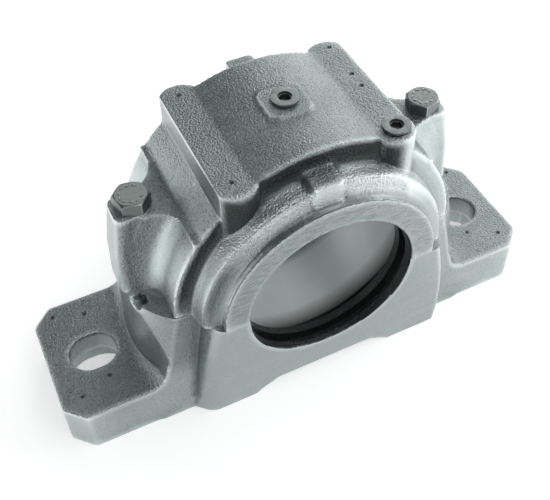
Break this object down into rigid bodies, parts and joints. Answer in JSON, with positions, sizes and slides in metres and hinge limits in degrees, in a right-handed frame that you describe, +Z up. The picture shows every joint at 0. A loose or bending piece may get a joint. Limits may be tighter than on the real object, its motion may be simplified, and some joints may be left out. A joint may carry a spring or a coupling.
{
  "type": "split plummer block",
  "caption": "Split bearing housing with a slotted foot, a bolted cap, a through shaft opening with seal grooves, and plugged lubrication holes.",
  "frame": {"origin": "middle of the footprint, on the surface that the foot stands on", "axes": "+X along the foot, +Y along the shaft, away from the end that carries the corner plug, +Z up"},
  "size_m": [0.255, 0.0988, 0.146],
  "materials": {
    "housing_base": "semi-gloss grey-green paint over a cast skin",
    "housing_cap": "semi-gloss grey-green paint over a cast skin",
    "cap_bolts": "painted over with the housing, semi-gloss",
    "plugs": "painted over with the housing, semi-gloss",
    "plug_seals": "matt",
    "dowel_pins": "ground"
  },
  "bodies": {
    "root": {"housing_base": "housing_base", "housing_cap": "housing_cap", "cap_bolt_left": "cap_bolts", "cap_bolt_right": "cap_bolts", "plug_top": "plugs", "plug_corner": "plugs", "plug_seal_top": "plug_seals", "plug_seal_corner": "plug_seals", "dowel_pin_left": "dowel_pins", "dowel_pin_right": "dowel_pins"}
  },
  "joints": []
}
